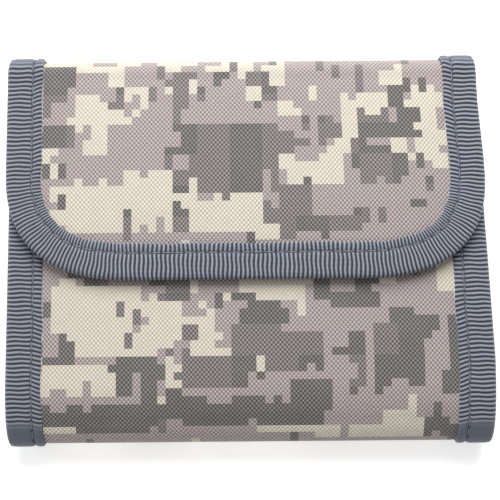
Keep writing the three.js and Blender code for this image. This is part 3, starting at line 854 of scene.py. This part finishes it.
def camouflage_material():
    g = Graph("camouflage_cloth", Sheen_Weight=0.1, Sheen_Roughness=0.5)
    x, s = g.uv()
    tone, shade = g.uv("Print")
    blocks = TONES[SAND]
    for number in (MAUVE, GREY, DARK):
        blocks = g.mix(g.math("GREATER_THAN", tone, number - 0.5), blocks, TONES[number])
    is_sand = g.math("LESS_THAN", tone, 0.5)
    drift = g.noise(g.vector(x, s), 0.6, 2.0)
    bent_x = g.math("ADD", x, g.times(drift, 0.25))
    weave = diamond_weave(g, bent_x, s, 1.18, 1.32)
    # Painted shade: the hollows between the yarn crossings are darkened towards a dark grey, least on
    # sand and most on grey
    hollow_shade = g.step(weave, 0.15, -0.7)
    is_grey = g.math("GREATER_THAN", tone, 1.5)
    strength = g.math("SUBTRACT", 0.58, g.times(is_sand, 0.43))
    strength = g.math("ADD", strength, g.times(is_grey, 0.22))
    # Painted highlight: the tops of the yarn crossings are lightened
    float_highlight = g.times(g.step(weave, 0.2, 0.9), 0.18)
    grime = g.step(g.noise(g.vector(x, s), 0.05, 4.0), 0.4, 0.7)
    # Real grime first, then each cell's own tint, then the painted highlight of the yarn tops
    wear_and_highlight = g.mix(g.times(grime, 0.10), blocks, (0.45, 0.43, 0.41))
    wear_and_highlight = g.mix(g.times(shade, 0.06), wear_and_highlight, (0.3, 0.3, 0.3))
    wear_and_highlight = g.mix(float_highlight, wear_and_highlight, linear(236, 230, 222))
    # The painted shade of the weave's hollows goes over everything else
    g.colour(g.mix(g.times(hollow_shade, strength), wear_and_highlight, linear(62, 58, 62)))
    g.rough(0.62, hollow_shade, 0.2)
    g.bump(weave, 0.00012)
    return g.material


def binding_material():
    g = Graph("binding_tape", Sheen_Weight=0.25, Sheen_Roughness=0.4)
    inset, t = g.uv()
    ribbed = g.uv("Relief")[0]
    phase = g.math("FRACT", g.math("ADD", g.math("DIVIDE", t, RIB), 0.5))
    from_gap = g.math("ABSOLUTE", g.math("SUBTRACT", phase, 0.5))
    seam = g.step(g.math("ABSOLUTE", g.math("SUBTRACT", inset, GROOVE)), 0.5, 0.1)
    # Painted shade: the gaps between the ribs, and the stitching groove, are darkened
    gap_shade = g.times(g.step(from_gap, 0.38, 0.16), ribbed)
    gap_shade = g.math("MAXIMUM", gap_shade, g.times(seam, 0.8))
    yarn = g.math("SINE", g.times(inset, 2 * math.pi / 0.34))
    tone = g.noise(g.vector(inset, t), 0.35, 3.0)
    base = g.mix(tone, linear(146, 152, 166), linear(168, 172, 184))
    base = g.mix(g.math("SUBTRACT", 1.0, ribbed), base, linear(98, 105, 120))
    fine = g.mix(g.times(g.math("ADD", yarn, 1.0), 0.08), base, linear(60, 66, 80))
    # The painted shade of the gaps and the groove goes over the tape's colour
    g.colour(g.mix(g.times(gap_shade, 0.92), fine, linear(30, 35, 50)))
    g.rough(0.6, gap_shade, 0.2)
    g.bump(g.math("ADD", yarn, g.times(tone, 0.6)), 0.00004)
    return g.material


def nylon_material(name, light, dark, pitch):
    g = Graph(name, Sheen_Weight=0.2)
    x, s = g.uv()
    weave = diamond_weave(g, x, s, pitch, pitch)
    tone = g.noise(g.vector(x, s), 0.12, 4.0)
    base = g.mix(tone, dark, light)
    # Painted shade: the weave's hollows are mixed towards a darker copy of the cloth's colour
    g.colour(g.mix(g.step(weave, 0.0, -0.9), base, tuple(0.45 * c for c in dark)))
    g.rough(0.5, tone, 0.2)
    g.bump(weave, 0.00006)
    return g.material


def mottled_material(name, scale, detail, dark, light, bump, **constants):
    """A material whose colour and fine bumps follow one noise. Returns its graph and the noise."""
    g = Graph(name, **constants)
    tone = g.noise(g.where(), scale, detail)
    g.colour(g.mix(tone, dark, light))
    g.bump(tone, bump)
    return g, tone


def thread_material():
    tones = (linear(88, 95, 110), linear(150, 158, 172))
    g, _ = mottled_material("stitching_thread", 3500.0, 2.0, *tones, 0.00003, Roughness=0.6)
    return g.material


def metal_material():
    g = Graph("zip_metal", Metallic=1.0)
    scratches = g.noise(g.where(), 1800.0, 4.0)
    patches = g.noise(g.where(), 220.0, 3.0)
    g.colour(g.mix(patches, linear(176, 178, 182), linear(206, 207, 210)))
    g.rough(0.22, scratches, 0.25)
    g.bump(scratches, 0.00001)
    return g.material


def coil_material():
    tones = (linear(70, 76, 88), linear(98, 104, 116))
    g, tone = mottled_material("zip_nylon", 900.0, 3.0, *tones, 0.00001, Coat_Weight=0.2)
    g.rough(0.3, tone, 0.2)
    return g.material


def film_material():
    tones = (linear(206, 214, 218), linear(240, 246, 247))
    clear = {"Alpha": 0.22, "Roughness": 0.12, "IOR": 1.5, "Coat_Weight": 0.5}
    return mottled_material("clear_film", 60.0, 2.0, *tones, 0.001, **clear)[0].material


def pile_material():
    tones = (linear(82, 88, 100), linear(128, 134, 146))
    fuzzy = {"Sheen_Weight": 0.6, "Roughness": 0.8}
    return mottled_material("fastener_tape", 1500.0, 3.0, *tones, 0.0001, **fuzzy)[0].material


# ---- Inside the wallet: up is 1 for a piece that faces up when it is closed, or else -1 ----


def pocket(node, body, material, up, hem=4.5):
    """Cloth sewn down on three sides, with a hem along its mouth. Returns its lines of stitching."""
    low, high = box(node)
    half = high[0]
    seam_y, mouth_y = low[1], high[1]
    if node == "coin_pocket_upper":
        seam_y, mouth_y = mouth_y, seam_y
    long = abs(mouth_y - seam_y)
    xs = np.linspace(-half, half, 73)
    ys = np.linspace(seam_y, mouth_y, max(9, int(long / 1.2)))
    x, y = np.meshgrid(xs, ys)
    base = low[2] if up > 0 else high[2]
    top = high[2] - low[2]
    sewn = np.minimum(half - abs(x), abs(y - seam_y))
    from_mouth = abs(y - mouth_y)
    hemmed = 0.22 * (1 - smooth(from_mouth, hem - 0.5, hem + 0.3))
    wave = 0.06 * np.sin(x / 9.0) * np.sin(y / 7.0)
    lift = (top - CLOTH) * smooth(sewn, 0.6, 3.0)
    slack = wave * smooth(sewn, 2, 8)
    near = stacked(x, y, base + up * (lift + CLOTH + slack + hemmed - 0.1))
    far = stacked(x, y, base + up * (lift + slack - 0.05 * smooth(sewn, 0.6, 3.0)))
    solid = grid_solid(near, far)
    uv = both_faces(x, y)
    piece = finished(node + "_cloth", *solid, body, material, "pocket_cloth", uv)
    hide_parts(node)
    inner = half - SEAM_INSET
    step = SEAM_INSET * np.sign(mouth_y - seam_y)
    side_y = np.linspace(seam_y + step, mouth_y - step, 40)
    seam_x = np.linspace(-inner, inner, 60)
    seam_z = base + up * (CLOTH - 0.05)
    hem_x = np.linspace(-half + 3, half - 3, 60)
    hem_z = base + up * (top + 0.05)
    return [
        stacked(-inner, side_y, seam_z),
        stacked(inner, side_y, seam_z),
        stacked(seam_x, seam_y + step, seam_z),
        stacked(hem_x, mouth_y - step * (hem - SEAM_INSET), hem_z),
    ]


def sewing(name, rows, body, thread):
    vertices, faces = joined([stitches(row) for row in rows])
    finished(name, vertices, faces, body, thread, "pocket_cloth", vertices[:, :2])


def tuft_strip(node, body, material, up, hooks):
    """A fastener strip: a woven base with rows of hooks, or a pile of loops."""
    low, high = box(node)
    base = low[2] if up > 0 else high[2]
    thick = 0.25
    x, y = grid(low, high, 39, 12)
    near = stacked(x, y, base + up * thick)
    far = stacked(x, y, base)
    parts = [grid_solid(near, far)]
    pitch = 1.5 if hooks else 1.15
    reach = high[2] - low[2] - thick
    angles = np.radians(np.linspace(0, 250 if hooks else 180, 6))
    for cx in np.arange(low[0] + 1, high[0] - 0.6, pitch):
        for cy in np.arange(low[1] + 1, high[1] - 0.6, pitch):
            yaw = 0 if hooks else random.uniform(0, math.pi)
            radius = reach * (0.45 if hooks else random.uniform(0.6, 0.95))
            flat = radius * np.cos(angles)
            rise = radius * np.sin(angles) + (reach - radius if hooks else 0)
            across, along_y = cx + flat * math.cos(yaw), cy + flat * math.sin(yaw)
            points = stacked(across, along_y, base + up * (thick + rise))
            parts.append(tube(points, 0.07 if hooks else 0.06, sides=3))
    vertices, faces = joined(parts)
    look = (material, "fastener_tape", vertices[:, :2])
    piece = finished(node + "_tape", vertices, faces, body, *look)
    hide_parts(node)


def zip_tape(node, material):
    """Woven tape with a raised cord along each long edge."""
    low, high = box(node)
    x, y = grid(low, high, 93, 15)
    edge = np.minimum(y - low[1], high[1] - y)
    cord = 0.08 * np.exp(-(((edge - 0.7) / 0.35) ** 2))
    near = stacked(x, y, low[2] - cord + 0.05)
    far = stacked(x, y, high[2])
    solid = grid_solid(near, far)
    look = (material, "zip_cloth", both_faces(x, y))
    piece = finished(node + "_cloth", *solid, "front_panel", *look)
    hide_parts(node)


def zip_coil(node, material, side):
    """Half of the zip: a flattened helix whose inner turns reach the zip's middle line."""
    low, high = box(node)
    turns = (high[0] - low[0] - 2 * COIL_WIRE) / COIL_PITCH
    shifted = 0.0 if side > 0 else COIL_PITCH / 2 - 0.4
    angle = np.linspace(0, turns * 2 * math.pi, int(turns * 12))
    outer = high[1] if side > 0 else low[1]
    reach = high[1] - low[1] + 0.5
    centre_y = outer - side * reach / 2
    centre_z = (low[2] + high[2]) / 2
    x = low[0] + COIL_WIRE + angle / (2 * math.pi) * COIL_PITCH + shifted
    y = centre_y + (reach / 2 - COIL_WIRE) * np.cos(angle)
    z = centre_z + ((high[2] - low[2]) / 2 - COIL_WIRE) * np.sin(angle)
    points = stacked(x, y, z)
    vertices, faces = tube(points, COIL_WIRE, sides=6)
    look = (material, "zip_nylon", vertices[:, :2])
    piece = finished(node + "_turns", vertices, faces, "front_panel", *look)
    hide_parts(node)


def window_frame(frame_material):
    """The identity-card window's frame: ribbed tape, mitred at its corners."""
    low, high = box("window_frame")
    fine = RIB / len(RIB_PROFILE)
    columns, rows = (round((high[i] - low[i]) / fine) + 1 for i in range(2))
    x, y = grid(low, high, columns, rows)
    side_gap = high[0] - abs(x)
    end_gap = np.minimum(y - low[1], high[1] - y)
    inset = np.minimum(side_gap, end_gap)
    running = np.where(side_gap < end_gap, y - low[1], x - low[0])
    phase = np.mod(running / RIB, 1.0)
    rib = np.interp(phase * len(RIB_PROFILE), range(6), (*RIB_PROFILE, RIB_PROFILE[0]))
    rim = smooth(inset, 0, 0.4) * smooth(WINDOW_TAPE - inset, -0.1, 0.3)
    thick = 0.3 + 0.12 * rib * rim
    sewn = np.minimum(high[0] - abs(x), y - low[1])
    room = high[2] - low[2] - WINDOW_TAPE_ROOM
    back = low[2] + WINDOW_TAPE_ROOM + room * (1 - smooth(sewn, 0.4, 2.2))
    far = stacked(x, y, back)
    near = stacked(x, y, back - thick)
    middle = (inset[1:, 1:] + inset[:-1, :-1]) / 2
    vertices, faces = grid_solid(near, far, present=middle < WINDOW_TAPE)
    uv = both_faces(inset, running)
    relief = np.ones((len(uv), 2))
    look = (frame_material, "binding_tape", uv, relief)
    piece = finished("window_frame_tape", vertices, faces, "front_panel", *look, sharp=0)
    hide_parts("window_frame")


def window_film(clear):
    """A thin clear film behind the window's frame, a little wavy."""
    low, high = box("window_film")
    x, y = grid(low, high, 60, 32)
    wave = 0.05 * np.sin(x / 11) * np.cos(y / 8)
    near = stacked(x, y, low[2] + 0.05 + wave)
    far = stacked(x, y, low[2] + 0.2 + wave)
    solid = grid_solid(near, far)
    film = finished("window_film_sheet", *solid, "front_panel", clear, "clear_film", solid[0][:, :2])
    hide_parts("window_film")


# ---- Assembly ----


def build_panels(cloth, lining):
    flap_rail = end_rail(FLAP_CORNER, 0, 1, S_TOP)
    front_rail = end_rail(PANEL_CORNER, S_END, -1, S_BOTTOM)
    thin, thick = (1.95, 2.5), (2.75, 3.4)
    flap = Panel("flap", (1.5, S_TOP), thin, (9, S_FLAP_FOLD - 2), flap_rail)
    low, high = box("loop_strip")
    sewn_on = (high[0] + 1, *(at_height(y, ON_FRONT) for y in (low[1] - 1, high[1] + 1)))
    front_foam = (S_FRONT_FOLD - 10, S_END - 12)
    front = Panel("front", (S_BOTTOM, S_END - 1.5), thick, front_foam, front_rail, sewn_on)
    back_foam = (S_BACK_TOP, S_BACK_BOTTOM)
    back = Panel("back", (S_SEAM, S_BOTTOM), thick, back_foam)
    top = Panel("top_fold", (S_TOP, S_SEAM), thick, (S_SEAM - 1, S_SEAM))
    flap.cloth(TOP_TO_FLAP, cloth, ["flap_shell", "flap_foam"])
    flap.lining(TOP_TO_FLAP, lining, ["flap_lining"])
    front.cloth(BOTTOM_TO_FRONT, cloth, ["front_shell", "front_foam"])
    front.lining(BOTTOM_TO_FRONT, lining, ["front_lining"])
    back.cloth(BACK_TO_BOTTOM, cloth, ["back_shell", "back_foam", "bottom_spine_shell"])
    back.lining(BACK_TO_BOTTOM, lining, ["back_lining", "bottom_spine_lining"])
    top.cloth(BACK_TO_TOP, cloth, ["top_spine_shell"])
    top.lining(BACK_TO_TOP, lining, ["top_spine_lining"])
    return flap_rail, front_rail


def build_bindings(flap_rail, front_rail, tape, thread):
    binding("flap_binding_tape", flap_rail, TOP_TO_FLAP, tape, ["flap_binding"])
    binding("front_binding_tape", front_rail, BOTTOM_TO_FRONT, tape, ["front_binding"])
    binding_stitches("flap_stitching", [flap_rail], TOP_TO_FLAP, thread)
    binding_stitches("front_stitching", [front_rail], BOTTOM_TO_FRONT, thread)
    for label, side in (("left", -1), ("right", 1)):
        back = side_rail(side, S_SEAM, S_BOTTOM)
        top = side_rail(side, S_TOP, S_SEAM)
        back_nodes = [f"back_binding_{label}", f"bottom_spine_binding_{label}"]
        binding(f"back_binding_tape_{label}", back, BACK_TO_BOTTOM, tape, back_nodes)
        top_nodes = [f"top_spine_binding_{label}"]
        binding(f"top_fold_binding_tape_{label}", top, BACK_TO_TOP, tape, top_nodes)
        binding_stitches(f"back_stitching_{label}", [back], BACK_TO_BOTTOM, thread)
        binding_stitches(f"top_fold_stitching_{label}", [top], BACK_TO_TOP, thread)


def build_inside(pocket_cloth, zip_cloth, tape, thread):
    back_rows = []
    for node in ("note_pocket", "card_pocket_rear", "card_pocket_middle", "card_pocket_front"):
        back_rows += pocket(node, "back", pocket_cloth, 1)
    sewing("pocket_stitching", back_rows, "back", thread)
    front_rows = []
    for node in ("coin_pocket_lower", "coin_pocket_upper"):
        front_rows += pocket(node, "front_panel", pocket_cloth, -1, hem=2.5)
    sewing("coin_pocket_stitching", front_rows, "front_panel", thread)
    pile = pile_material()
    tuft_strip("hook_strip", "flap", pile, -1, hooks=True)
    tuft_strip("loop_strip", "front_panel", pile, 1, hooks=False)
    zip_tape("zip_tape_upper", zip_cloth)
    zip_tape("zip_tape_lower", zip_cloth)
    coil = coil_material()
    zip_coil("zip_coil_upper", coil, 1)
    zip_coil("zip_coil_lower", coil, -1)
    window_frame(tape)
    window_film(film_material())


def finish_metal():
    metal = metal_material()
    for name in ("zip_slider_body", "zip_pull", "zip_stop_left", "zip_stop_right"):
        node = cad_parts[name]
        node.data.materials.clear()
        node.data.materials.append(metal)
        bevel = node.modifiers.new("softened edges", "BEVEL")
        bevel.width = 0.00012
        bevel.segments = 2
        bevel.limit_method = "ANGLE"


def floor():
    size = 3.0
    corners = [(x * size, y * size, -FLOOR_DEPTH) for x, y in ((-1, -1), (1, -1), (1, 1), (-1, 1))]
    mesh = bpy.data.meshes.new("floor")
    mesh.from_pydata(corners, [], [(0, 1, 2, 3)])
    g = Graph("floor", Roughness=0.9, Emission_Color=(1, 1, 1, 1), Emission_Strength=0.5)
    g.colour(g.mix(g.noise(g.where(), 4.0), (0.93, 0.93, 0.93), (0.95, 0.95, 0.95)))
    mesh.materials.append(g.material)
    added("floor", mesh)


def area_light(name, position, aim, size, watts):
    light = bpy.data.lights.new(name, "AREA")
    light.shape = "DISK"
    light.size = size
    light.energy = watts
    lamp = added(name, light)
    lamp.location = position
    lamp.rotation_euler = (Vector(aim) - Vector(position)).to_track_quat("-Z", "Y").to_euler()


def lights():
    world = bpy.data.worlds.new("studio")
    world.use_nodes = True
    tree = world.node_tree
    backdrop = tree.nodes["Background"]
    backdrop.inputs["Color"].default_value = (1, 1, 1, 1)
    brightness = tree.nodes.new("ShaderNodeMix")  # soft light, and a white wall behind
    brightness.inputs["A"].default_value = 0.31
    brightness.inputs["B"].default_value = 1.0
    seen = tree.nodes.new("ShaderNodeLightPath").outputs["Is Camera Ray"]
    tree.links.new(seen, brightness.inputs["Factor"])
    tree.links.new(brightness.outputs["Result"], backdrop.inputs["Strength"])
    bpy.context.scene.world = world
    area_light("key", (0.03, 0.36, 0.38), (0, 0.02, 0), 0.4, 3.1)
    area_light("left", (-0.6, 0.1, 0.5), (0, 0, 0), 0.5, 1.2)
    bpy.context.scene.view_settings.view_transform = "Standard"


def camera():
    tilt = math.radians(6.5)
    roll = math.radians(-0.5)
    distance = 0.245
    aim = Vector((0.0008, -0.0004, 0.014))
    data = bpy.data.cameras.new("camera")
    data.sensor_width = 36
    data.lens = 63.6
    data.clip_start = 0.01
    eye = added("camera", data)
    eye.location = aim + distance * Vector((0, -math.sin(tilt), math.cos(tilt)))
    eye.rotation_euler = (Matrix.Rotation(tilt, 3, "X") @ Matrix.Rotation(roll, 3, "Z")).to_euler()
    bpy.context.scene.camera = eye


def build():
    camera()
    lights()
    floor()
    cloth = camouflage_material()
    lining = nylon_material("lining_cloth", linear(72, 76, 84), linear(56, 59, 66), 0.42)
    pocket_cloth = nylon_material("pocket_cloth", linear(82, 86, 96), linear(62, 66, 74), 0.46)
    zip_cloth = nylon_material("zip_cloth", linear(92, 98, 110), linear(70, 76, 88), 0.6)
    tape = binding_material()
    thread = thread_material()
    rails = build_panels(cloth, lining)
    build_bindings(*rails, tape, thread)
    build_inside(pocket_cloth, zip_cloth, tape, thread)
    finish_metal()


build()
